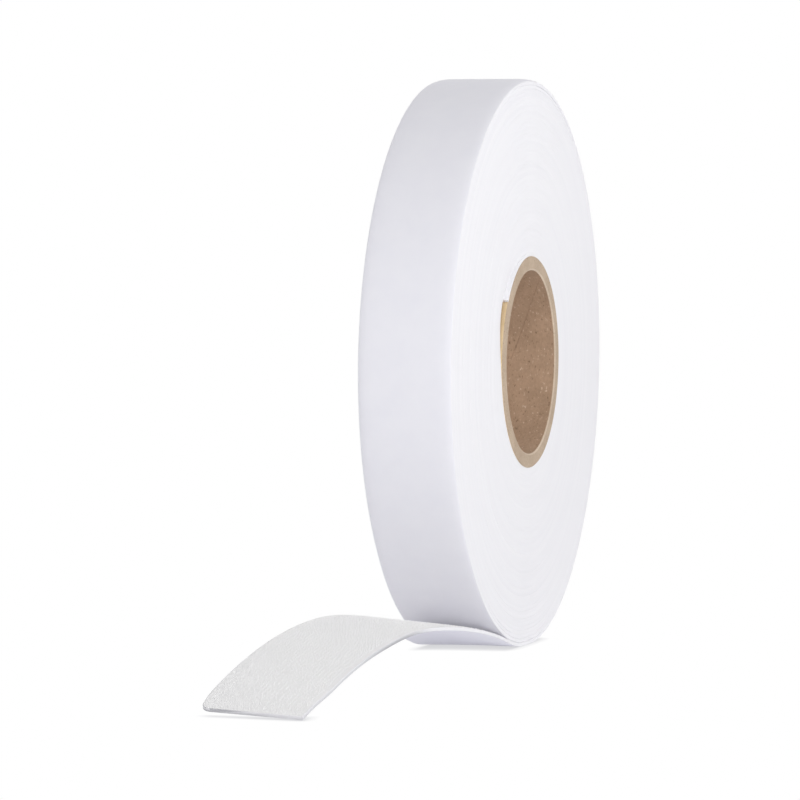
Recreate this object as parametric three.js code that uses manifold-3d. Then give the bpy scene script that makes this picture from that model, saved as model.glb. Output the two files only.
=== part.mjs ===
// A roll of hook and loop tape on a paperboard core. It stands on its rim with its free end run out in front.
// Units are millimetres. X runs along the roll's axis, the free end leaves towards -Y, and Z is up.
// The origin lies under the axis, on the flat that the roll stands on.

import * as THREE from 'three';
import { mergeVertices } from 'three/addons/utils/BufferGeometryUtils.js';
import Module from 'manifold-3d';

// Driving dimensions: the tape
const TAPE_WIDTH = 38.1;
const TAPE_THICKNESS = 1.6;
const ROLL_DIAMETER = 236;
const OUTER_TURNS = 2;
const START_ANGLE = 125;
const START_RAMP = 34;
const STANDING_FLAT_DEPTH = 0.5;

// Driving dimensions: the core
const CORE_BORE = 76.2;
const CORE_WALL = 5.8;
const CORE_PROUD = 0.6;
const CORE_EDGE_CHAMFER = 0.6;

// Driving dimensions: the free end, a low hump of two arcs between the roll and the floor
const LEAVE_ANGLE = 13.4;
const RISE_RADIUS = 622;
const RISE_ARC_LENGTH = 112;
const FALL_RADIUS = 455;
const ROOT_LENGTH = 34;
const RISE_LENGTH = 78;
const CREST_LENGTH = 78;

// Clearances
const SEAT_GAP = 0.3;
const TURN_GAP = 0.45;
const BEND_GAP = 0.3;
const FLOOR_GAP = 0.2;

// Facets
const FACETS_PER_TURN = 96;
const TAIL_STEP = 12;

// Sizes worked out from the driving dimensions
const ROLL_RADIUS = ROLL_DIAMETER / 2;
const AXIS_HEIGHT = ROLL_RADIUS - STANDING_FLAT_DEPTH;
const TURN_PITCH = TAPE_THICKNESS + TURN_GAP;
const CORE_BORE_RADIUS = CORE_BORE / 2;
const CORE_RADIUS = CORE_BORE_RADIUS + CORE_WALL;
const CORE_LENGTH = TAPE_WIDTH + 2 * CORE_PROUD;

const PAPERBOARD = new THREE.MeshStandardMaterial({ color: 0xb9a38c, roughness: 0.9, metalness: 0 });
const TAPE_EDGE = new THREE.MeshStandardMaterial({ color: 0xeeedf1, roughness: 0.85, metalness: 0 });
const TAPE_SMOOTH = new THREE.MeshStandardMaterial({ color: 0xe6e5ee, roughness: 0.6, metalness: 0 });
const TAPE_PILE = new THREE.MeshStandardMaterial({ color: 0xe5e5e5, roughness: 0.95, metalness: 0 });

const wasm = await Module();
wasm.setup();

// Angles round the roll are in degrees from the bottom, turning towards -Y, which is the way that the tape winds on
function onRoll(radius, degrees) {
  const angle = THREE.MathUtils.degToRad(degrees);
  return new THREE.Vector2(-radius * Math.sin(angle), AXIS_HEIGHT - radius * Math.cos(angle));
}

// The outer face of the outer turns, a spiral that has the roll's radius over the standing flat
function outerFaceRadius(degrees) {
  return ROLL_RADIUS + TURN_PITCH * degrees / 360;
}

// The free end's underside at a distance from where it leaves the roll: its place, and its slope towards -Y
function tailUnderside(distance) {
  const start = onRoll(outerFaceRadius(LEAVE_ANGLE), LEAVE_ANGLE);
  const startSlope = THREE.MathUtils.degToRad(LEAVE_ANGLE);
  const rise = Math.min(distance, RISE_ARC_LENGTH);
  const top = alongArc(start, startSlope, RISE_RADIUS, rise);
  return alongArc(top.place, top.slope, FALL_RADIUS, distance - rise);
}

// A step along an arc that curves down on its way to -Y
function alongArc(start, startSlope, radius, length) {
  const slope = startSlope - length / radius;
  const ahead = radius * (Math.sin(startSlope) - Math.sin(slope));
  const up = radius * (Math.cos(slope) - Math.cos(startSlope));
  const place = new THREE.Vector2(start.x - ahead, start.y + up);
  return { place, slope };
}

// The free end stops where the underside of its second arc comes down to the floor
function tailLength() {
  const top = tailUnderside(RISE_ARC_LENGTH);
  const drop = top.place.y - FLOOR_GAP;
  const landingSlope = -Math.acos(Math.cos(top.slope) - drop / FALL_RADIUS);
  return RISE_ARC_LENGTH + FALL_RADIUS * (top.slope - landingSlope);
}

// A point on the tape's other face, one thickness above its underside
function tailTopside(distance) {
  const { place, slope } = tailUnderside(distance);
  const across = new THREE.Vector2(Math.sin(slope), Math.cos(slope)).multiplyScalar(TAPE_THICKNESS);
  return place.clone().add(across);
}

// Evenly spaced values from first to last
function spread(first, last, steps) {
  return Array.from({ length: steps + 1 }, (_, index) => first + (last - first) * index / steps);
}

// A side view in Y and Z, extruded along X and centred on the tape. A hole's points run the other way round
function extrudeAcross(outline, hole = null) {
  const shape = new THREE.Shape(outline);
  if (hole) {
    shape.holes.push(new THREE.Path(hole));
  }
  const geometry = new THREE.ExtrudeGeometry(shape, { depth: TAPE_WIDTH, bevelEnabled: false });
  const sideways = new THREE.Matrix4().makeBasis(
    new THREE.Vector3(0, 1, 0), new THREE.Vector3(0, 0, 1), new THREE.Vector3(1, 0, 0));
  geometry.applyMatrix4(sideways);
  geometry.translate(-TAPE_WIDTH / 2, 0, 0);
  return geometry;
}

function toSolid(geometry) {
  const bare = geometry.clone();
  bare.deleteAttribute('normal');
  bare.deleteAttribute('uv');
  const merged = mergeVertices(bare, 1e-4);
  return new wasm.Manifold(new wasm.Mesh({
    numProp: 3,
    vertProperties: new Float32Array(merged.attributes.position.array),
    triVerts: new Uint32Array(merged.index.array),
  }));
}

function toGeometry(solid) {
  const mesh = solid.getMesh();
  const geometry = new THREE.BufferGeometry();
  geometry.setAttribute('position', new THREE.BufferAttribute(mesh.vertProperties, 3));
  geometry.setIndex(new THREE.BufferAttribute(mesh.triVerts, 1));
  geometry.computeVertexNormals();
  return geometry;
}

// The paperboard tube, with its cut edges eased
function coreTube() {
  const half = CORE_LENGTH / 2;
  const eased = half - CORE_EDGE_CHAMFER;
  const profile = [
    [CORE_BORE_RADIUS, -eased],
    [CORE_BORE_RADIUS + CORE_EDGE_CHAMFER, -half],
    [CORE_RADIUS - CORE_EDGE_CHAMFER, -half],
    [CORE_RADIUS, -eased],
    [CORE_RADIUS, eased],
    [CORE_RADIUS - CORE_EDGE_CHAMFER, half],
    [CORE_BORE_RADIUS + CORE_EDGE_CHAMFER, half],
    [CORE_BORE_RADIUS, eased],
    [CORE_BORE_RADIUS, -eased],
  ];
  const geometry = new THREE.LatheGeometry(profile.map(([r, h]) => new THREE.Vector2(r, h)), FACETS_PER_TURN);
  geometry.rotateZ(-Math.PI / 2);
  geometry.translate(0, 0, AXIS_HEIGHT);
  return geometry;
}

// The inner turns as one plain pack. Its bore is the first turn's inner face, which lies on the core from its cut
// start until it climbs over that start, and its rim takes up the spiral that the outer turns go on with
function woundTape() {
  const rampStart = 360 - START_RAMP;
  const bore = spread(0, 360, FACETS_PER_TURN).map((degrees) => {
    const climb = TURN_PITCH * Math.max(0, degrees - rampStart) / START_RAMP;
    return onRoll(CORE_RADIUS + SEAT_GAP + climb, START_ANGLE + degrees);
  });
  const rimStart = LEAVE_ANGLE - 360 * OUTER_TURNS;
  const rim = spread(rimStart, rimStart + 360, FACETS_PER_TURN).map(
    (degrees) => onRoll(outerFaceRadius(degrees) - TAPE_THICKNESS - SEAT_GAP, degrees));
  return extrudeAcross(rim, bore.reverse());
}

// The outer turns, one unbroken strip that ends in the root of the free end, with the standing flat cut under it
function outerWrap() {
  const firstAngle = LEAVE_ANGLE - 360 * OUTER_TURNS + seatAngle();
  const turns = spread(firstAngle, LEAVE_ANGLE, FACETS_PER_TURN * OUTER_TURNS);
  const root = spread(0, ROOT_LENGTH - BEND_GAP / 2, Math.ceil(ROOT_LENGTH / TAIL_STEP)).slice(1);
  const outside = turns.map((degrees) => onRoll(outerFaceRadius(degrees), degrees));
  const inside = turns.map((degrees) => onRoll(outerFaceRadius(degrees) - TAPE_THICKNESS, degrees));
  reportLeastGap(outside, inside);
  outside.push(...root.map((distance) => tailUnderside(distance).place));
  inside.push(...root.map(tailTopside));
  const strip = extrudeAcross([...outside, ...inside.reverse()]);
  const floor = new THREE.BoxGeometry(2 * TAPE_WIDTH, ROLL_DIAMETER, ROLL_RADIUS);
  floor.translate(0, 0, -ROLL_RADIUS / 2);
  return toGeometry(toSolid(strip).subtract(toSolid(floor)));
}

// The angle that leaves the seat gap between the strip's inner end and the step in the pack
function seatAngle() {
  return THREE.MathUtils.radToDeg(SEAT_GAP / ROLL_RADIUS);
}

// The least distance between the strip's turns, measured from each point of one turn to the edges of the next
function reportLeastGap(outside, inside) {
  const nearest = new THREE.Vector3();
  let least = Infinity;
  for (let index = FACETS_PER_TURN; index < inside.length; index += 1) {
    const point = new THREE.Vector3(inside[index].x, inside[index].y, 0);
    for (let other = index - FACETS_PER_TURN - 2; other < index - FACETS_PER_TURN + 2; other += 1) {
      if (other >= 0) {
        const edge = new THREE.Line3(
          new THREE.Vector3(outside[other].x, outside[other].y, 0),
          new THREE.Vector3(outside[other + 1].x, outside[other + 1].y, 0));
        edge.closestPointToPoint(point, true, nearest);
        least = Math.min(least, nearest.distanceTo(point));
      }
    }
  }
  console.log(`least gap between the outer turns: ${least.toFixed(3)} mm`);
}

// A stretch of the free end, cut square at both ends
function tailStretch(from, to) {
  const distances = spread(from, to, Math.ceil((to - from) / TAIL_STEP));
  const underside = distances.map((distance) => tailUnderside(distance).place);
  const topside = distances.map(tailTopside);
  return extrudeAcross([...underside, ...topside.reverse()]);
}

function piece(name, geometry, material) {
  const mesh = new THREE.Mesh(geometry, material);
  mesh.name = name;
  return mesh;
}

const firstBend = ROOT_LENGTH;
const secondBend = firstBend + RISE_LENGTH;
const thirdBend = secondBend + CREST_LENGTH;
const halfGap = BEND_GAP / 2;

const roll = new THREE.Group();
roll.add(piece('core_tube', coreTube(), PAPERBOARD));
roll.add(piece('wound_tape', woundTape(), TAPE_EDGE));
roll.add(piece('outer_wrap', outerWrap(), TAPE_SMOOTH));
roll.add(piece('tail_rise', tailStretch(firstBend + halfGap, secondBend - halfGap), TAPE_PILE));
roll.add(piece('tail_crest', tailStretch(secondBend + halfGap, thirdBend - halfGap), TAPE_PILE));
roll.add(piece('tail_end', tailStretch(thirdBend + halfGap, tailLength()), TAPE_PILE));

for (const bend of [firstBend, secondBend, thirdBend]) {
  const hinge = tailTopside(bend);
  console.log(`bend line at y ${hinge.x.toFixed(3)}, z ${hinge.y.toFixed(3)} mm`);
}

export default roll;
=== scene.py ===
import math

import bmesh
import bpy
import numpy as np
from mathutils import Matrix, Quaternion, Vector


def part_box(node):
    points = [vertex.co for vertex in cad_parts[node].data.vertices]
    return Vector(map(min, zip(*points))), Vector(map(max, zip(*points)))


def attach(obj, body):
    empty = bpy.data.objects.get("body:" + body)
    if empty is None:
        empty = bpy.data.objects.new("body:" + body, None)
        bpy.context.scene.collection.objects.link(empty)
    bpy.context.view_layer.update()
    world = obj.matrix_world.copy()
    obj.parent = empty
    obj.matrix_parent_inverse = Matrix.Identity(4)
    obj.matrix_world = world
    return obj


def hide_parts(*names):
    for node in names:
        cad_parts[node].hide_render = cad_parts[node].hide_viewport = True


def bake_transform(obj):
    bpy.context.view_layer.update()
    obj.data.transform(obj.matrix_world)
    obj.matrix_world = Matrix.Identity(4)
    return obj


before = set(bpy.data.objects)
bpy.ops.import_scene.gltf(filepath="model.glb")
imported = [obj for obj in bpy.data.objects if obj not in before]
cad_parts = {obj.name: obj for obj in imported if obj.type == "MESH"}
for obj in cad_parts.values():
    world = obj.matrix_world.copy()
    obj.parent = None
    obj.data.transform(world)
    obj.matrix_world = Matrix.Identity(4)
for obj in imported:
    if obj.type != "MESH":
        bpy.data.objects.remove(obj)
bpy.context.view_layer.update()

# A roll of hook and loop tape on a paperboard core, with its free end run out in front.
# X runs along the roll's axis, the free end leaves towards -Y, and Z is up.
# Lengths are metres. Given angles are degrees, apart from those marked as radians. Slopes are radians.

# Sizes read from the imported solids
pack_low, pack_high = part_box("wound_tape")
core_low, core_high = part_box("core_tube")
TAPE_WIDTH = pack_high.x - pack_low.x
CORE_LENGTH = core_high.x - core_low.x
CORE_RADIUS = (core_high.y - core_low.y) / 2
AXIS_HEIGHT = (core_high.z + core_low.z) / 2

# The tape and its winding
ROLL_RADIUS = 0.118
WOUND_THICKNESS = 0.00155
GROUND_THICKNESS = 0.00140
TAPE_CORNER = 0.00025
WHOLE_TURNS = 45
OUTER_TURNS = 2
START_ANGLE = 125
LEAVE_ANGLE = 13.4
CLIMB_ANGLE = 34
EVEN_AFTER_TURNS = 8
SQUEEZE_DEPTH = 0.025
SHOULDER_DROP = 0.0010
SHOULDER_POWER = 12
SHOULDER_ANGLE = 45

# The edges of the turns, as they show on the roll's two sides
# A ridge's points are a share of one turn's thickness and a depth below the crest
RIDGE = ((0.0, 0.00005), (0.09, 0.000015), (0.30, 0.0), (0.70, 0.0), (0.91, 0.000015))
# A wave of the wander has its share, its radians for each turn and how many times it takes the phase
WANDER_WAVES = ((1.0, 4.1, 1), (0.7, 1.27, 2), (0.5, 9.3, 0))
EDGE_WANDER = 0.00002
NEAR_PHASE = 0.0  # radians
FAR_PHASE = 1.9  # radians
DISH_DEPTH = 0.0016
DISH_WIDTH = 0.011
DISH_BEFORE = 48
DISH_AFTER = 46
START_PROUD = 0.0004
START_PROUD_TURNS = 0.2

# The core
BORE_RADIUS = 0.0381
CORE_CHAMFER = 0.0005
PLIES = 9
PLY_GROOVE = 0.00007
PLY_GROOVE_HALF_WIDTH = 0.00010
SEAM_DEPTH = 0.00014
SEAM_HALF_ANGLE = 0.0085  # radians
SEAM_TWIST = 62.0  # radians for each metre
SEAM_COLUMNS = (-1.0, -0.5, 0.5, 1.0)  # shares of the half angle

# The free end, a low hump of two arcs whose far edge lies higher than its near edge
RISE_RADIUS = 0.622
RISE_ARC_LENGTH = 0.112
FALL_RADIUS = 0.455
FLOOR_GAP = 0.0002
ROOT_LENGTH = 0.034
RISE_LENGTH = 0.078
CREST_LENGTH = 0.078
NEAR_DROP = 0.0013
NEAR_DROP_LENGTH = 0.090
NEAR_DIP = 0.0007
NEAR_DIP_START = 0.130
NEAR_DIP_LENGTH = 0.045
FAR_RISE = 0.0027
FAR_RISE_LENGTH = 0.145
TIP_RISE = 0.0016
NEAR_TIP_LENGTH = 0.036
FAR_TIP_LENGTH = 0.012
SAG_HEIGHT = 0.0027
SAG_START = -0.018
SAG_DEEPEST = 0.012
SAG_END = 0.085
ARCH_HEIGHT = 0.0012
ARCH_TOP = 0.022
ARCH_END = 0.100
TIP_CORNER = 0.0036
NEAR_CORNER_SHARE = 0.1
ROOT_SEAM = 0.003

# Painted shade: a grey laid on the free end's cut edges, most of it on their lower parts, and on its cut end
EDGE_SHADE_START = 0.105
EDGE_SHADE_FADE = 0.045
EDGE_SHADE_EASE_START = 0.165
EDGE_SHADE_EASE = 0.45
NEAR_EDGE_SHADE_AT_TIP = 0.5
FAR_EDGE_SHADE_AT_TIP = 0.85
NEAR_EDGE_UPPER_UNSHADED = 0.4

# The hooks on the fastening face
HOOK_START = 0.007
HOOK_PITCH_ALONG = 0.00150
HOOK_PITCH_ACROSS = 0.00150
HOOK_HEIGHT = 0.00032
HOOK_END_MARGIN = 0.0006
HOOK_SPREAD_ALONG = 0.00036
HOOK_SPREAD_ACROSS = 0.00028
HOOK_YAW_SPREAD = 0.6  # radians
HOOK_SIZE_SPREAD = 0.07
SELVEDGE = 0.0013
TIP_SELVEDGE_SHARE = 0.7
PRESSED_SHARE = 0.75
PRESSED_START = 0.150
PRESSED_WIDTH = 0.020
HOOK_SIDES = 5
HOOK_SEED = 7
SEEDS_PER_METRE = 1000

# Facets
PACK_STEPS = 200
WRAP_STEPS = 200
ROOT_STEPS = 2
TAIL_STEP = 0.0015
TIP_CORNER_STEP = 15
ACROSS_POINTS = 17
CORNER_POINTS = 4
CORE_STEPS = 192
CORE_ROWS = 34
# The least upward share of a section's direction that counts as its flat face
UPRIGHT = 0.99

# Colours as shares of red, green and blue, darker and lighter ones in pairs
WHITE = (1.0, 1.0, 1.0)
BACK_COLOURS = ((0.806, 0.804, 0.852), (0.827, 0.825, 0.866))
EDGE_COLOURS = ((0.824, 0.821, 0.843), (0.844, 0.841, 0.858))
GROUND_COLOURS = ((0.915, 0.913, 0.908), (0.955, 0.953, 0.948))
HOOK_COLOURS = ((0.925, 0.923, 0.918), (0.980, 0.978, 0.973))
# The grey of the painted shade on the free end's edges
EDGE_SHADE_COLOUR = (0.40, 0.40, 0.42)
FLOOR_COLOUR = (0.90, 0.90, 0.91)
SHADOW_COLOUR = (0.66, 0.66, 0.68)
WORLD_COLOUR = (0.985, 0.98, 1.0)

# Ranges of noise that are spread over a whole change of colour or roughness
NOISE_RANGE = (0.3, 0.7)
FIBRE_RANGE = (0.2, 0.8)
THREAD_RANGE = (0.1, 0.9)
PULP_RANGE = (0.36, 0.64)
DARK_FLECK_RANGE = (0.62, 0.72)
PALE_FLECK_RANGE = (0.36, 0.27)

# Strengths of the details in the materials
BACK_THREAD_SHARE = 0.5
GROUND_THREAD_SHARE = 0.25
EDGE_CHANGES_PER_TURN = 1.7
HOOK_SHINE = 0.25

# The camera
CAMERA_AIM = Vector((-0.0374, 0.0, 0.1006))
CAMERA_AZIMUTH = 17.13
CAMERA_ELEVATION = 2.10
CAMERA_ROLL = 0.51
CAMERA_DISTANCE = 1.678
CAMERA_LENS = 180.0
CAMERA_SENSOR = 36.0

# The stage and its light
FLOOR_HALF = 4.0
FLOOR_DROP = 0.0001
FLOOR_GLOW = 0.093
SHADOW_REACH = 0.004
SHADOW_SAMPLES = 16
WORLD_LIGHT = 1.316
WORLD_LEAN = (-0.292, 0.554, -1.105)
DIFFUSE_BOUNCES = 12

# Sizes worked out from the ones above
HALF_WIDTH = TAPE_WIDTH / 2
LEAVE = math.radians(LEAVE_ANGLE)
TURNS = WHOLE_TURNS + ((LEAVE_ANGLE - START_ANGLE) % 360) / 360
# The tape lies on itself at one pitch from the core to the point where it leaves the roll
TURN_PITCH = (ROLL_RADIUS - CORE_RADIUS) / (TURNS + 1 - LEAVE_ANGLE / 360)


def smooth(share):
    """Goes from 0 to 1 with level ends as the share does, and stays there outside."""
    share = np.clip(share, 0.0, 1.0)
    return share * share * (3 - 2 * share)


# The winding: angles are in radians from the bottom, turning towards -Y, the way that the tape winds on
def outer_radius(turned):
    """Radius of the spiral that the tape's outer face follows."""
    return ROLL_RADIUS + TURN_PITCH * turned / (2 * math.pi)


def inner_radius(turns):
    """Radius of the tape's inner face, so many turns after its start.

    The first turns climb late, over the start.
    """
    whole = np.floor(turns)
    part = turns - whole
    climb = CLIMB_ANGLE / 360
    late = smooth((part - 1 + climb) / climb)
    even = np.clip(whole / EVEN_AFTER_TURNS, 0.0, 1.0)
    return CORE_RADIUS + TURN_PITCH * (whole + late * (1 - even) + part * even)


def shoulder(x):
    """How far the tape's thin selvedges lie below its middle in the outer turns."""
    return SHOULDER_DROP * np.abs(x / HALF_WIDTH) ** SHOULDER_POWER


def from_bottom(turned):
    """The angle from the bottom, from minus half a turn to half a turn."""
    return (turned + math.pi) % (2 * math.pi) - math.pi


def unpressed(turned):
    """0 where the roll's weight holds the tape's whole width down, 1 further round."""
    around = np.abs(from_bottom(turned))
    return smooth((around - LEAVE) / math.radians(SHOULDER_ANGLE))


def on_roll(radius, turned, drop=0.0):
    """Places (y, z) on the roll, whose outer turns are pressed flat where it stands."""
    around = from_bottom(turned)
    outside = outer_radius(around)
    outermost = np.clip(1 - (outside - radius) / SQUEEZE_DEPTH, 0.0, 1.0)
    press = np.maximum(0.0, outside * np.cos(around) - AXIS_HEIGHT) * outermost
    radius = radius - drop * unpressed(turned) * outermost
    return -radius * np.sin(turned), AXIS_HEIGHT - radius * np.cos(turned) + press


# The free end: places and slopes along its smooth underside
def along_arc(start_y, start_z, start_slope, radius, length):
    """Place and slope at a length along an arc that bends down."""
    slope = start_slope - length / radius
    y = start_y - radius * (math.sin(start_slope) - np.sin(slope))
    z = start_z + radius * (np.cos(slope) - math.cos(start_slope))
    return y, z, slope


LEAVE_Y, LEAVE_Z = on_roll(outer_radius(LEAVE), LEAVE)
TOP_Y, TOP_Z, TOP_SLOPE = along_arc(LEAVE_Y, LEAVE_Z, LEAVE, RISE_RADIUS, RISE_ARC_LENGTH)
LANDING_SLOPE = -math.acos(math.cos(TOP_SLOPE) - (TOP_Z - FLOOR_GAP) / FALL_RADIUS)
TAIL_LENGTH = RISE_ARC_LENGTH + FALL_RADIUS * (TOP_SLOPE - LANDING_SLOPE)


def tail_underside(run):
    """Place and slope of the free end, at lengths from where it leaves the roll."""
    rise = along_arc(LEAVE_Y, LEAVE_Z, LEAVE, RISE_RADIUS, np.minimum(run, RISE_ARC_LENGTH))
    fall = along_arc(TOP_Y, TOP_Z, TOP_SLOPE, FALL_RADIUS, np.maximum(run - RISE_ARC_LENGTH, 0.0))
    before = run <= RISE_ARC_LENGTH
    return tuple(np.where(before, a, b) for a, b in zip(rise, fall))


def tail_shift(run, x):
    """How far a point of the free end moves up.

    It does so by the strip's twist, the sag of its far edge and its arch next to the roll.
    """
    near_tip = smooth(1 - (TAIL_LENGTH - run) / NEAR_TIP_LENGTH)
    far_tip = smooth(1 - (TAIL_LENGTH - run) / FAR_TIP_LENGTH)
    deepening = smooth((run - SAG_START) / (SAG_DEEPEST - SAG_START))
    easing = smooth((run - SAG_DEEPEST) / (SAG_END - SAG_DEEPEST))
    sag = SAG_HEIGHT * deepening * (1 - easing)
    drop = NEAR_DROP * smooth(run / NEAR_DROP_LENGTH)
    dip = NEAR_DIP * smooth((run - NEAR_DIP_START) / NEAR_DIP_LENGTH)
    near = -(drop + dip) * (1 - near_tip)
    far = FAR_RISE * smooth(run / FAR_RISE_LENGTH) + (TIP_RISE - FAR_RISE) * far_tip - sag
    bow = smooth(run / ARCH_TOP) * (1 - smooth((run - ARCH_TOP) / (ARCH_END - ARCH_TOP)))
    arch = ARCH_HEIGHT * bow * (1 - (x / HALF_WIDTH) ** 2)
    return (near + far) / 2 + (near - far) * x / TAPE_WIDTH + arch


# Mesh helpers
def new_piece(name, points, faces, materials, face_slots, layers, sharp_angle=40):
    """A smooth-shaded mesh with named number layers for its materials."""
    mesh = bpy.data.meshes.new(name)
    mesh.from_pydata(np.asarray(points).tolist(), [], [list(face) for face in faces])
    for material in materials:
        mesh.materials.append(material)
    mesh.polygons.foreach_set("material_index", np.asarray(face_slots, np.int32))
    for key, numbers in layers.items():
        layer = mesh.attributes.new(key, "FLOAT", "POINT")
        layer.data.foreach_set("value", np.asarray(numbers, np.float32))
    shell = bmesh.new()
    shell.from_mesh(mesh)
    loose = [point for point in shell.verts if not point.link_faces]
    bmesh.ops.delete(shell, geom=loose, context="VERTS")
    bmesh.ops.recalc_face_normals(shell, faces=shell.faces)
    shell.to_mesh(mesh)
    shell.free()
    mesh.shade_smooth()
    mesh.set_sharp_from_angle(angle=math.radians(sharp_angle))
    piece = bpy.data.objects.new(name, mesh)
    bpy.context.scene.collection.objects.link(piece)
    return piece


def grid_faces(index):
    """Quads between neighbouring rows and columns of a table of point numbers."""
    quads = np.stack([index[:-1, :-1], index[1:, :-1], index[1:, 1:], index[:-1, 1:]], -1)
    return quads.reshape(-1, 4).tolist()


# Material helpers
def add_node(tree, kind, inputs=None, **settings):
    """A shader node whose inputs are given as numbers or as other nodes' outputs."""
    made = tree.nodes.new("ShaderNode" + kind)
    for key, value in settings.items():
        setattr(made, key, value)
    for socket, value in (inputs or {}).items():
        if isinstance(value, bpy.types.NodeSocket):
            tree.links.new(value, made.inputs[socket])
        else:
            made.inputs[socket].default_value = value
    return made


def new_material(name):
    material = bpy.data.materials.new(name)
    material.use_nodes = True
    tree = material.node_tree
    return material, tree, tree.nodes["Principled BSDF"]


def paint(tree, shader, colour, roughness):
    tree.links.new(colour, shader.inputs["Base Color"])
    tree.links.new(roughness, shader.inputs["Roughness"])


def math_node(tree, operation, first, second=0.0):
    return add_node(tree, "Math", {0: first, 1: second}, operation=operation).outputs[0]


def number_layer(tree, key):
    return add_node(tree, "Attribute", attribute_name=key).outputs["Fac"]


def tape_place(tree):
    """A place on the flat tape: its run along the strip and its place across it."""
    along = number_layer(tree, "tape_along")
    across = number_layer(tree, "tape_across")
    return add_node(tree, "CombineXYZ", {"X": along, "Y": across}).outputs[0]


def noise(tree, place, scale, detail=3.0, roughness=0.55):
    inputs = {"Vector": place, "Scale": scale, "Detail": detail, "Roughness": roughness}
    return add_node(tree, "TexNoise", inputs).outputs["Fac"]


def mix_colours(tree, share, below, above):
    """Lays one colour over another. Sockets 6 and 7 and output 2 are those for colours."""
    return add_node(tree, "Mix", {"Factor": share, 6: below, 7: above}, data_type="RGBA").outputs[2]


def tint(tree, share, low, high):
    return mix_colours(tree, share, (*low, 1.0), (*high, 1.0))


def spread_on(tree, share, below, colour):
    return mix_colours(tree, share, below, (*colour, 1.0))


def remap(tree, value, from_low, from_high, to_low=0.0, to_high=1.0):
    inputs = {0: value, 1: from_low, 2: from_high, 3: to_low, 4: to_high}
    return add_node(tree, "MapRange", inputs).outputs[0]


def weave(tree, pitch):
    """A plain weave's height over the flat tape."""
    waves = []
    for key in ("tape_along", "tape_across"):
        turned = math_node(tree, "MULTIPLY", number_layer(tree, key), 2 * math.pi / pitch)
        waves.append(math_node(tree, "SINE", turned))
    return math_node(tree, "MULTIPLY", *waves)


def bump(tree, shader, height, strength, distance):
    inputs = {"Height": height, "Strength": strength, "Distance": distance}
    tree.links.new(add_node(tree, "Bump", inputs).outputs[0], shader.inputs["Normal"])


# Materials
def smooth_back():
    """The tape's smooth face: a faintly woven back with a coating, white with a breath of lavender."""
    material, tree, shader = new_material("tape_smooth_back")
    place = tape_place(tree)
    patches = noise(tree, place, scale=90.0)
    colour = tint(tree, remap(tree, patches, *NOISE_RANGE), *BACK_COLOURS)
    roughness = remap(tree, patches, *NOISE_RANGE, to_low=0.55, to_high=0.66)
    paint(tree, shader, colour, roughness)
    grain = noise(tree, place, scale=1500.0)
    threads = math_node(tree, "MULTIPLY", weave(tree, pitch=0.0011), BACK_THREAD_SHARE)
    bump(tree, shader, math_node(tree, "ADD", grain, threads), strength=0.15, distance=0.00005)
    return material


def cut_edge():
    """The tape's edges: stacked in the roll they make its two white sides. On the free end a painted shade
    greys them.
    """
    material, tree, shader = new_material("tape_cut_edge")
    place_in_winding = math_node(tree, "MULTIPLY", number_layer(tree, "tape_turn"), EDGE_CHANGES_PER_TURN)
    inputs = {"W": place_in_winding, "Scale": 1.0, "Detail": 2.0}
    changes = add_node(tree, "TexNoise", inputs, noise_dimensions="1D").outputs["Fac"]
    unshaded_edge = tint(tree, remap(tree, changes, *NOISE_RANGE), *EDGE_COLOURS)
    # Painted shade: grey laid over the edge colour on the free end's edges, darkest on their lower parts
    colour = spread_on(tree, number_layer(tree, "painted_edge_shade"), unshaded_edge, EDGE_SHADE_COLOUR)
    place = add_node(tree, "TexCoord").outputs["Object"]
    fibres = noise(tree, place, scale=2600.0)
    paint(tree, shader, colour, remap(tree, fibres, *FIBRE_RANGE, to_low=0.78, to_high=0.92))
    bump(tree, shader, fibres, strength=0.3, distance=0.00008)
    return material


def woven_ground():
    """The fastening face between its hooks: an open plain weave."""
    material, tree, shader = new_material("tape_woven_ground")
    threads = weave(tree, pitch=0.0009)
    patches = noise(tree, tape_place(tree), scale=120.0)
    shown = math_node(tree, "MULTIPLY", threads, GROUND_THREAD_SHARE)
    share = math_node(tree, "ADD", shown, patches)
    colour = tint(tree, remap(tree, share, *THREAD_RANGE), *GROUND_COLOURS)
    paint(tree, shader, colour, remap(tree, patches, *NOISE_RANGE, to_low=0.84, to_high=0.95))
    bump(tree, shader, threads, strength=0.6, distance=0.00012)
    return material


def hook_thread():
    """The hooks: stiff, dull monofilament."""
    material, tree, shader = new_material("tape_hook_thread")
    shares = number_layer(tree, "hook_share")
    roughness = remap(tree, shares, 0.0, 1.0, to_low=0.62, to_high=0.78)
    paint(tree, shader, tint(tree, shares, *HOOK_COLOURS), roughness)
    shader.inputs["Specular IOR Level"].default_value = HOOK_SHINE
    return material


def kraft(name, dark, light, dark_fleck, pale_fleck, stretch):
    """Paperboard: brown pulp with sparse darker and paler flecks, drawn out along the tube's winding."""
    material, tree, shader = new_material(name)
    place = add_node(tree, "TexCoord").outputs["Object"]
    drawn = add_node(tree, "Mapping", {"Vector": place, "Scale": stretch}).outputs[0]
    clouds = noise(tree, place, scale=90.0, detail=2.0)
    fibres = noise(tree, drawn, scale=1300.0)
    specks = noise(tree, drawn, scale=950.0, detail=2.0)
    share = math_node(tree, "MULTIPLY", math_node(tree, "ADD", clouds, fibres), 0.5)
    pulp = tint(tree, remap(tree, share, *PULP_RANGE), dark, light)
    darker = spread_on(tree, remap(tree, specks, *DARK_FLECK_RANGE), pulp, dark_fleck)
    colour = spread_on(tree, remap(tree, specks, *PALE_FLECK_RANGE), darker, pale_fleck)
    paint(tree, shader, colour, remap(tree, fibres, *FIBRE_RANGE, to_low=0.82, to_high=0.96))
    bump(tree, shader, specks, strength=0.5, distance=0.00025)
    return material


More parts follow.
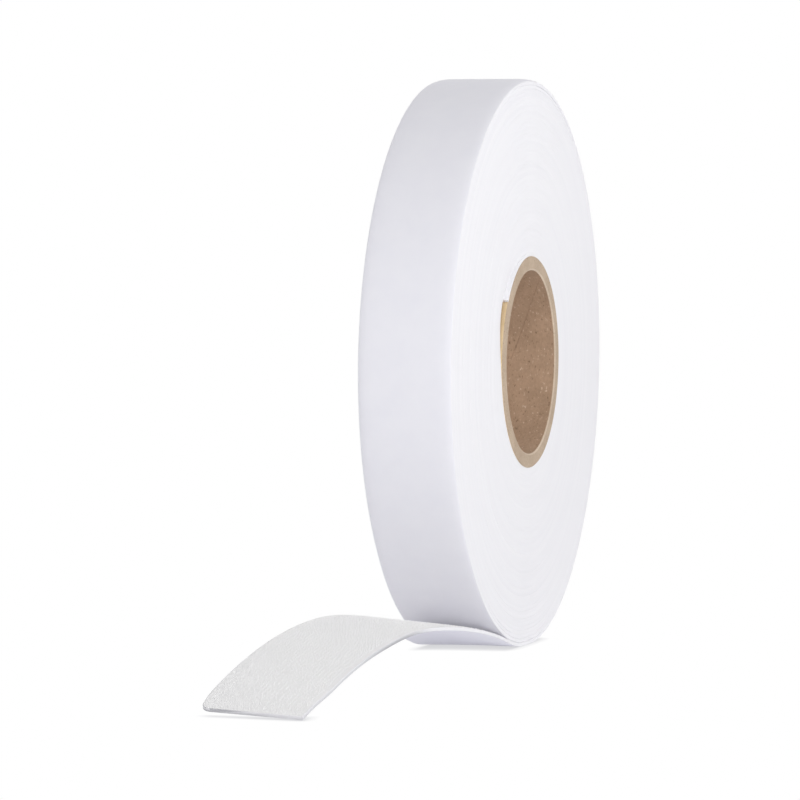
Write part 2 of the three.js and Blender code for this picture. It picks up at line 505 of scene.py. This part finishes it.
BACK, EDGE, GROUND, HOOKS = smooth_back(), cut_edge(), woven_ground(), hook_thread()
BORE = kraft(
    "paperboard_lining",
    dark=(0.35, 0.235, 0.152),
    light=(0.46, 0.312, 0.208),
    dark_fleck=(0.23, 0.148, 0.090),
    pale_fleck=(0.61, 0.46, 0.34),
    stretch=(1.0, 0.6, 0.6),
)
CUT = kraft(
    "paperboard_cut_end",
    dark=(0.43, 0.328, 0.236),
    light=(0.52, 0.410, 0.303),
    dark_fleck=(0.35, 0.260, 0.180),
    pale_fleck=(0.58, 0.465, 0.35),
    stretch=(3.0, 1.0, 1.0),
)
SKIN = kraft(
    "paperboard_skin",
    dark=(0.60, 0.442, 0.250),
    light=(0.71, 0.543, 0.332),
    dark_fleck=(0.48, 0.337, 0.182),
    pale_fleck=(0.77, 0.606, 0.394),
    stretch=(1.0, 0.4, 0.4),
)
RIM = kraft(
    "paperboard_rim",
    dark=(0.54, 0.432, 0.326),
    light=(0.64, 0.524, 0.402),
    dark_fleck=(0.46, 0.355, 0.258),
    pale_fleck=(0.70, 0.585, 0.46),
    stretch=(1.0, 1.0, 1.0),
)

# The places of the materials in the lists that the pieces below are given
LINING_SLOT, CUT_SLOT, SKIN_SLOT, RIM_SLOT = range(4)
PACK_EDGE_SLOT, PACK_BACK_SLOT = range(2)
BACK_SLOT, EDGE_SLOT, FACE_SLOT = range(3)


# Pieces
def core_section():
    """The tube's closed section: place along the axis, radius, and the material from there on."""
    half = CORE_LENGTH / 2
    wall = CORE_RADIUS - BORE_RADIUS
    end = [(half - CORE_CHAMFER, BORE_RADIUS, RIM_SLOT)]
    for ply in range(PLIES):
        inner = BORE_RADIUS + CORE_CHAMFER + (wall - 2 * CORE_CHAMFER) * ply / PLIES
        outer = BORE_RADIUS + CORE_CHAMFER + (wall - 2 * CORE_CHAMFER) * (ply + 1) / PLIES
        end.append((half, inner + PLY_GROOVE_HALF_WIDTH, CUT_SLOT))
        end.append((half, outer - PLY_GROOVE_HALF_WIDTH, CUT_SLOT))
        end.append((half - PLY_GROOVE, outer, CUT_SLOT))
    end[-1] = (half, CORE_RADIUS - CORE_CHAMFER, CUT_SLOT)
    end.append((half - CORE_CHAMFER, CORE_RADIUS, SKIN_SLOT))
    far_end = [(-x, radius, CUT_SLOT) for x, radius, _ in reversed(end)]
    # The far end's last two points begin its inner chamfer and the bore
    far_end[-2] = (*far_end[-2][:2], RIM_SLOT)
    far_end[-1] = (*far_end[-1][:2], LINING_SLOT)
    rows = np.linspace(-half + CORE_CHAMFER, half - CORE_CHAMFER, CORE_ROWS)[1:-1]
    skin = [(x, CORE_RADIUS, SKIN_SLOT) for x in rows[::-1]]
    bore = [(x, BORE_RADIUS, LINING_SLOT) for x in rows]
    return np.array(end + skin + far_end + bore)


def core_tube(materials):
    """A paperboard tube with its plies on the cut ends and the spiral seam of its lining in the bore."""
    section = core_section()
    x = section[:, 0][:, None]
    radius = section[:, 1][:, None]
    spaced = np.arange(CORE_STEPS) * 2 * math.pi / CORE_STEPS
    at_seam = SEAM_HALF_ANGLE * np.array(SEAM_COLUMNS)
    columns = np.sort(np.append(spaced, at_seam % (2 * math.pi)))
    seam = SEAM_DEPTH * np.clip(1 - np.abs(from_bottom(columns)) / SEAM_HALF_ANGLE, 0, 1)
    angle = columns[None, :] + SEAM_TWIST * x
    reach = radius + np.where(np.isclose(radius, BORE_RADIUS), seam[None, :], 0.0)
    y = reach * np.cos(angle)
    z = AXIS_HEIGHT + reach * np.sin(angle)
    points = np.stack([np.broadcast_to(x, angle.shape), y, z], -1).reshape(-1, 3)
    index = np.arange(angle.size).reshape(angle.shape)
    faces = grid_faces(np.pad(index, ((0, 1), (0, 1)), mode="wrap"))
    slots = np.repeat(section[:, 2].astype(int), len(columns))
    return new_piece("core_tube_board", points, faces, materials, slots, {}, sharp_angle=50)


def edge_wander(turns, phase):
    """The slow drift of the tape's edge from side to side as it was wound."""
    drift = sum(share * np.sin(turns * rate + count * phase) for share, rate, count in WANDER_WAVES)
    return EDGE_WANDER * drift


def start_dish(turns, turned, radius):
    """How far the first turns lie inside the roll's side where they pass over the tape's start."""
    past = np.degrees(turned) % 360 - START_ANGLE
    reach = np.where(past < 0, smooth(1 + past / DISH_BEFORE), smooth(1 - past / DISH_AFTER))
    dish = DISH_DEPTH * reach * smooth(1 - (radius - CORE_RADIUS) / DISH_WIDTH)
    proud = START_PROUD * smooth(1 - turns / START_PROUD_TURNS)
    return np.where(turns < START_PROUD_TURNS, -proud, dish)


def wound_pack(materials):
    """The turns under the outer ones. Each side is one unbroken spiral of tape edges."""
    last = round((TURNS - OUTER_TURNS) * PACK_STEPS)
    turns = np.arange(last + PACK_STEPS + 1)[:, None] / PACK_STEPS
    turned = math.radians(START_ANGLE) + 2 * math.pi * turns
    share, depth = np.array(RIDGE).T[:, None, :]
    radius = inner_radius(turns) * (1 - share) + inner_radius(turns + 1) * share
    y, z = on_roll(radius, turned, SHOULDER_DROP)
    near = HALF_WIDTH - depth + edge_wander(turns, NEAR_PHASE) - start_dish(turns, turned, radius)
    far = -HALF_WIDTH + depth - edge_wander(turns, FAR_PHASE)
    points = np.concatenate([np.stack([x, y, z], -1).reshape(-1, 3) for x in (near, far)])
    sides = np.arange(len(points)).reshape(2, len(turns), len(RIDGE))
    faces = []
    for side in sides:
        faces += grid_faces(np.hstack([side[: last + 1], side[PACK_STEPS:, :1]]))
    edge_count = len(faces)
    bore = sides[:, : PACK_STEPS + 1, 0].T
    tread = sides[:, last:, 0].T
    start = np.hstack([sides[:, 0], sides[:, PACK_STEPS, :1]]).T
    finish = np.hstack([sides[:, last], sides[:, last + PACK_STEPS, :1]]).T
    for surface in (bore, tread, start, finish):
        faces += grid_faces(surface)
    slots = np.where(np.arange(len(faces)) < edge_count, PACK_EDGE_SLOT, PACK_BACK_SLOT)
    winding = np.tile(np.repeat(turns[:, 0], len(RIDGE)), 2)
    along = winding * 2 * math.pi * CORE_RADIUS
    layers = {"tape_turn": winding, "tape_along": along, "tape_across": points[:, 0]}
    return new_piece("wound_tape_pack", points, faces, materials, slots, layers)


def round_section():
    """A flat strip's section: each point's place on an inner rectangle and its direction out from there."""
    flat = np.sin(np.linspace(-math.pi / 2, math.pi / 2, ACROSS_POINTS))[1:-1]
    places = []
    for a, b, first in ((1, 0, -90), (1, 1, 0), (-1, 1, 90), (-1, 0, 180)):
        for angle in np.radians(np.linspace(first, first + 90, CORNER_POINTS)):
            places.append((a, b, math.cos(angle), math.sin(angle)))
        if first == 0:
            places += [(place, 1, 0.0, 1.0) for place in flat[::-1]]
        if first == 180:
            places += [(place, 0, 0.0, -1.0) for place in flat]
    return np.array(places)


def tape_strip(name, materials, path, sides, thickness, sag, shift, edge_shade, layers):
    """Sweeps the tape's section along a path of places and slopes.

    The sides are its lowest and highest x, the sag tells how far its selvedges drop, the shift lifts its
    points, and the edge shade is the strength of the painted shade on its near and far edge. The materials
    are back, edge and face.
    """
    y, z, slope = (numbers[:, None] for numbers in path)
    low_x, high_x = (numbers[:, None] for numbers in sides)
    near, far = (numbers[:, None] for numbers in edge_shade)
    a, b, out, up = round_section().T
    x = (low_x + high_x) / 2 + ((high_x - low_x) / 2 - TAPE_CORNER) * a + TAPE_CORNER * out
    flat_height = b * (thickness[:, None] - 2 * TAPE_CORNER) + TAPE_CORNER * (1 + up)
    height = flat_height + sag[:, None] * shoulder(x)
    lifted = z + height * np.cos(slope) + shift(x)
    points = np.stack([x, y + height * np.sin(slope), lifted], -1).reshape(-1, 3)
    index = np.arange(x.size).reshape(x.shape)
    faces = grid_faces(np.hstack([index, index[:, :1]]))
    faces += [index[0].tolist(), index[-1].tolist()]
    lower = np.minimum(up, np.roll(up, -1))
    upper = np.maximum(up, np.roll(up, -1))
    round_the_section = np.where(lower > UPRIGHT, FACE_SLOT, np.where(upper < -UPRIGHT, BACK_SLOT, EDGE_SLOT))
    slots = np.append(np.tile(round_the_section, len(index) - 1), [EDGE_SLOT, EDGE_SLOT])
    # Painted shade on the edges: low down on the near edge, and low down and on the top corner of the far
    # edge
    far_rim = np.maximum(b * up, 1 - b)
    near_rim = 1 - b * (NEAR_EDGE_UPPER_UNSHADED + (1 - NEAR_EDGE_UPPER_UNSHADED) * up)
    edge_shaded = np.where(a < 0, far, near) * np.where(a < 0, far_rim, near_rim)
    all_layers = {key: np.repeat(numbers, len(a)) for key, numbers in layers.items()}
    all_layers["tape_across"] = x.ravel()
    all_layers["painted_edge_shade"] = edge_shaded.ravel()
    return new_piece(name, points, faces, materials, slots, all_layers)


def outer_wrap(materials):
    """The last turns as one real strip, up to where the free end begins to bend."""
    turns = np.linspace(TURNS - OUTER_TURNS, TURNS, OUTER_TURNS * WRAP_STEPS + 1)
    turned = math.radians(START_ANGLE) + 2 * math.pi * turns
    around = turned - 2 * math.pi * (WHOLE_TURNS + 1)
    y, z = on_roll(outer_radius(around), turned)
    root = np.linspace(0.0, ROOT_SEAM, ROOT_STEPS + 1)[1:]
    root_y, root_z, root_slope = tail_underside(root)
    path = (np.append(y, root_y), np.append(z, root_z), np.append(around, root_slope))
    flat_length = float(np.sum(np.hypot(np.diff(path[0]), np.diff(path[1]))))
    turns = np.append(turns, np.full_like(root, TURNS))
    wander = edge_wander(turns, NEAR_PHASE) * np.clip(TURNS - turns, 0, 1)
    run = np.append((around - LEAVE) * ROLL_RADIUS, root)[:, None]
    piece = tape_strip(
        "outer_wrap_tape",
        materials,
        path,
        sides=(-HALF_WIDTH - wander, HALF_WIDTH + wander),
        thickness=np.full_like(turns, WOUND_THICKNESS),
        sag=np.append(unpressed(turned), np.zeros_like(root)),
        shift=lambda x: tail_shift(run, x),
        edge_shade=(np.zeros_like(turns), np.zeros_like(turns)),
        layers={"tape_turn": turns, "tape_along": turns * 2 * math.pi * ROLL_RADIUS},
    )
    return piece, flat_length


def tip_trim(run):
    """How far the rounded far corner of the cut end lies inside the tape's edge."""
    past = np.clip(run - TAIL_LENGTH + TIP_CORNER, 0, TIP_CORNER)
    return TIP_CORNER - np.sqrt(TIP_CORNER**2 - past**2)


def tail_base(name, materials, first, last):
    """A stretch of the free end's ground cloth. The far corner of its cut end is slightly rounded."""
    run = np.linspace(first, last, round((last - first) / TAIL_STEP) + 1)
    if last == TAIL_LENGTH:
        angles = np.radians(np.arange(TIP_CORNER_STEP, 90, TIP_CORNER_STEP))
        rounding = TAIL_LENGTH - TIP_CORNER * (1 - np.sin(angles))
        run = np.concatenate([run[run < TAIL_LENGTH - TIP_CORNER], rounding, [TAIL_LENGTH]])
    trim = tip_trim(run)
    thin = smooth((run - ROOT_SEAM) / (HOOK_START - ROOT_SEAM))
    # Painted shade on the free end's edges fades in partway along it and grows lighter on the near edge
    # further on. The last ring, which the cut end shares, has set strengths of it.
    shown = smooth((run - EDGE_SHADE_START) / EDGE_SHADE_FADE)
    shade_easing = 1 - EDGE_SHADE_EASE * smooth((run - EDGE_SHADE_EASE_START) / EDGE_SHADE_FADE)
    near_edge_shade = np.where(run < TAIL_LENGTH, shown * shade_easing, NEAR_EDGE_SHADE_AT_TIP)
    far_edge_shade = np.where(run < TAIL_LENGTH, shown, FAR_EDGE_SHADE_AT_TIP)
    return tape_strip(
        name,
        materials,
        tail_underside(run),
        sides=(-HALF_WIDTH + trim, HALF_WIDTH - NEAR_CORNER_SHARE * trim),
        thickness=WOUND_THICKNESS + (GROUND_THICKNESS - WOUND_THICKNESS) * thin,
        sag=np.zeros_like(run),
        shift=lambda x: tail_shift(run[:, None], x),
        edge_shade=(near_edge_shade, far_edge_shade),
        layers={"tape_turn": np.full_like(run, TURNS), "tape_along": run},
    )


def hook_rings():
    """One hook as rings round a stem that leans over into a crook, in shares of the hook's height."""
    bend = np.radians([0, 0, 40, 95, 140])[:, None]
    run = np.array([0.0, 0.02, 0.13, 0.42, 0.66])[:, None]
    height = np.array([-0.15, 0.55, 0.86, 0.90, 0.62])[:, None]
    radius = np.array([0.44, 0.34, 0.31, 0.27, 0.15])[:, None]
    angles = 2 * math.pi * np.arange(HOOK_SIDES) / HOOK_SIDES
    along = run + radius * np.cos(angles) * np.cos(bend)
    across = radius * np.sin(angles)
    up = height - radius * np.cos(angles) * np.sin(bend)
    return np.stack([along, across, up], -1) * HOOK_HEIGHT


def standing(run, lane):
    """The share of their height that the hooks keep. They are pressed down round the tip's far corner."""
    towards_tip = smooth((run - PRESSED_START) / (TAIL_LENGTH - PRESSED_START))
    towards_far = smooth(1 - (lane + HALF_WIDTH) / PRESSED_WIDTH)
    return 1 - PRESSED_SHARE * towards_tip * towards_far


def hook_field(name, material, first, last):
    """Lanes of hooks on a stretch of the free end, every second one half a pitch ahead.

    Neighbouring pairs of lanes face opposite ways.
    """
    draw = np.random.default_rng(HOOK_SEED + round(first * SEEDS_PER_METRE))
    rows = np.arange(math.ceil(first / HOOK_PITCH_ALONG), math.ceil(last / HOOK_PITCH_ALONG))
    lanes = np.arange(-HALF_WIDTH + SELVEDGE, HALF_WIDTH - SELVEDGE, HOOK_PITCH_ACROSS)
    run = np.repeat(rows * HOOK_PITCH_ALONG, len(lanes))
    lane = np.tile(lanes, len(rows))
    number = np.tile(np.arange(len(lanes)), len(rows))
    run = run + np.where(number % 2, HOOK_PITCH_ALONG / 2, 0.0)
    run = run + draw.normal(0, HOOK_SPREAD_ALONG, run.size)
    far_limit = tip_trim(run) + TIP_SELVEDGE_SHARE * SELVEDGE - HALF_WIDTH
    keep = (run < TAIL_LENGTH - HOOK_END_MARGIN) & (lane > far_limit)
    run, lane, number = run[keep], lane[keep], number[keep]
    lane = lane + draw.normal(0, HOOK_SPREAD_ACROSS, run.size)
    yaw = draw.normal(0, HOOK_YAW_SPREAD, run.size)[:, None]
    size = draw.normal(1.0, HOOK_SIZE_SPREAD, run.size)
    facing = np.where(number % 4 < 2, 1.0, -1.0)[:, None]
    rings = hook_rings().reshape(-1, 3)
    ahead = facing * rings[None, :, 0] * size[:, None]
    aside = rings[None, :, 1] * size[:, None]
    along = ahead * np.cos(yaw) - aside * np.sin(yaw)
    across = ahead * np.sin(yaw) + aside * np.cos(yaw)
    up = GROUND_THICKNESS + rings[None, :, 2] * (size * standing(run, lane))[:, None]
    y, z, slope = (numbers[:, None] for numbers in tail_underside(run))
    x = lane[:, None] + across
    rise = along * np.sin(slope) + up * np.cos(slope) + tail_shift(run[:, None], x)
    points = np.stack([x, y - along * np.cos(slope) + up * np.sin(slope), z + rise], -1).reshape(-1, 3)
    index = np.arange(x.size).reshape(len(run), -1, HOOK_SIDES)
    ringed = np.concatenate([index, index[:, :, :1]], 2)
    quads = [ringed[:, :-1, :-1], ringed[:, 1:, :-1], ringed[:, 1:, 1:], ringed[:, :-1, 1:]]
    faces = np.stack(quads, -1).reshape(-1, 4).tolist() + index[:, 0].tolist() + index[:, -1].tolist()
    layers = {"hook_share": np.repeat(draw.uniform(0, 1, len(run)), len(rings))}
    return new_piece(name, points, faces, [material], np.zeros(len(faces)), layers, sharp_angle=70)


# The object
core = core_tube([BORE, CUT, SKIN, RIM])
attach(core, "roll")
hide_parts("core_tube")

pack = wound_pack([EDGE, BACK])
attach(pack, "roll")
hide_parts("wound_tape")

wrap, wrap_length = outer_wrap([BACK, EDGE, GROUND])
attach(wrap, "roll")
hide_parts("outer_wrap")

# Each stretch of the free end holds one bend and meets the next halfway between two bends. The bodies listed
# before and after each bend are not used.
root_bend = ROOT_LENGTH
middle_bend = root_bend + RISE_LENGTH
end_bend = middle_bend + CREST_LENGTH
rise_middle = (root_bend + middle_bend) / 2
crest_middle = (middle_bend + end_bend) / 2
stretches = (
    ("tail_rise", "roll", "rise", ROOT_SEAM, root_bend, rise_middle),
    ("tail_crest", "rise", "crest", rise_middle, middle_bend, crest_middle),
    ("tail_end", "crest", "end", crest_middle, end_bend, TAIL_LENGTH),
)
for node, before, after, first, bend, last in stretches:
    base = tail_base(node + "_tape", [BACK, EDGE, GROUND], first, last)
    hooks = hook_field(node + "_hooks", HOOKS, max(first, HOOK_START), last)
    for piece in (base, hooks):
        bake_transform(piece)
        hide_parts(node)


# The stage: a white floor that keeps a soft shadow where the object touches it, and even studio light
def white_to_camera(tree):
    """1 for rays that see the background: straight from the camera, mirrored or through glass."""
    rays = add_node(tree, "LightPath").outputs
    seen = math_node(tree, "MAXIMUM", rays["Is Camera Ray"], rays["Is Glossy Ray"])
    return math_node(tree, "MAXIMUM", seen, rays["Is Transmission Ray"])


def studio_floor():
    material = bpy.data.materials.new("studio_floor")
    material.use_nodes = True
    tree = material.node_tree
    tree.nodes.clear()
    occlusion = add_node(tree, "AmbientOcclusion", {"Distance": SHADOW_REACH}, samples=SHADOW_SAMPLES)
    shade = tint(tree, occlusion.outputs["AO"], SHADOW_COLOUR, WHITE)
    seen = add_node(tree, "Emission", {"Color": shade, "Strength": 1.0}).outputs[0]
    pale = add_node(tree, "BsdfDiffuse", {"Color": (*FLOOR_COLOUR, 1.0)}).outputs[0]
    glow = add_node(tree, "Emission", {"Color": (*WHITE, 1.0), "Strength": FLOOR_GLOW}).outputs[0]
    lit = add_node(tree, "AddShader", {0: pale, 1: glow}).outputs[0]
    mixed = add_node(tree, "MixShader", {0: white_to_camera(tree), 1: lit, 2: seen}).outputs[0]
    add_node(tree, "OutputMaterial", {"Surface": mixed})
    mesh = bpy.data.meshes.new("floor")
    sides = ((-1, -1), (1, -1), (1, 1), (-1, 1))
    corners = [(x * FLOOR_HALF, y * FLOOR_HALF, -FLOOR_DROP) for x, y in sides]
    mesh.from_pydata(corners, [], [(0, 1, 2, 3)])
    mesh.materials.append(material)
    floor = bpy.data.objects.new("floor", mesh)
    bpy.context.scene.collection.objects.link(floor)


def studio_world():
    """Even light that leans to one side, and a white background."""
    world = bpy.data.worlds.new("studio")
    bpy.context.scene.world = world
    world.use_nodes = True
    tree = world.node_tree
    tree.nodes.clear()
    directions = {0: add_node(tree, "TexCoord").outputs["Generated"], 1: WORLD_LEAN}
    lean = add_node(tree, "VectorMath", directions, operation="DOT_PRODUCT").outputs["Value"]
    strength = math_node(tree, "ADD", lean, WORLD_LIGHT)
    lit = add_node(tree, "Background", {"Color": (*WORLD_COLOUR, 1.0), "Strength": strength}).outputs[0]
    seen = add_node(tree, "Background", {"Color": (*WHITE, 1.0), "Strength": 1.0}).outputs[0]
    mixed = add_node(tree, "MixShader", {0: white_to_camera(tree), 1: lit, 2: seen}).outputs[0]
    add_node(tree, "OutputWorld", {"Surface": mixed})


def area_lamp(name, place, aim, size, power):
    light = bpy.data.lights.new(name, "AREA")
    light.shape = "DISK"
    light.size = size
    light.energy = power
    lamp = bpy.data.objects.new(name, light)
    lamp.location = place
    lamp.rotation_euler = (Vector(aim) - Vector(place)).to_track_quat("-Z", "Y").to_euler()
    bpy.context.scene.collection.objects.link(lamp)


def studio_camera():
    azimuth, elevation = math.radians(CAMERA_AZIMUTH), math.radians(CAMERA_ELEVATION)
    flat = math.cos(elevation)
    back = Vector((math.sin(azimuth) * flat, -math.cos(azimuth) * flat, math.sin(elevation)))
    lens = bpy.data.cameras.new("camera")
    lens.lens = CAMERA_LENS
    lens.sensor_width = CAMERA_SENSOR
    camera = bpy.data.objects.new("camera", lens)
    camera.location = CAMERA_AIM + CAMERA_DISTANCE * back
    upright = (-back).to_track_quat("-Z", "Y")
    camera.rotation_euler = (upright @ Quaternion((0, 0, 1), math.radians(CAMERA_ROLL))).to_euler()
    bpy.context.scene.collection.objects.link(camera)
    bpy.context.scene.camera = camera


bpy.context.scene.view_settings.view_transform = "Standard"
# White tape hands light on many times in the narrow gap where the free end leaves the roll
bpy.context.scene.cycles.diffuse_bounces = DIFFUSE_BOUNCES
studio_floor()
studio_world()
studio_camera()
area_lamp("key_lamp", place=(1.08, -0.91, 0.87), aim=(0.0, 0.0, 0.12), size=1.0, power=10.76)
area_lamp("low_front_lamp", place=(0.40, -1.45, 0.14), aim=(0.0, 0.0, 0.10), size=0.6, power=2.9)
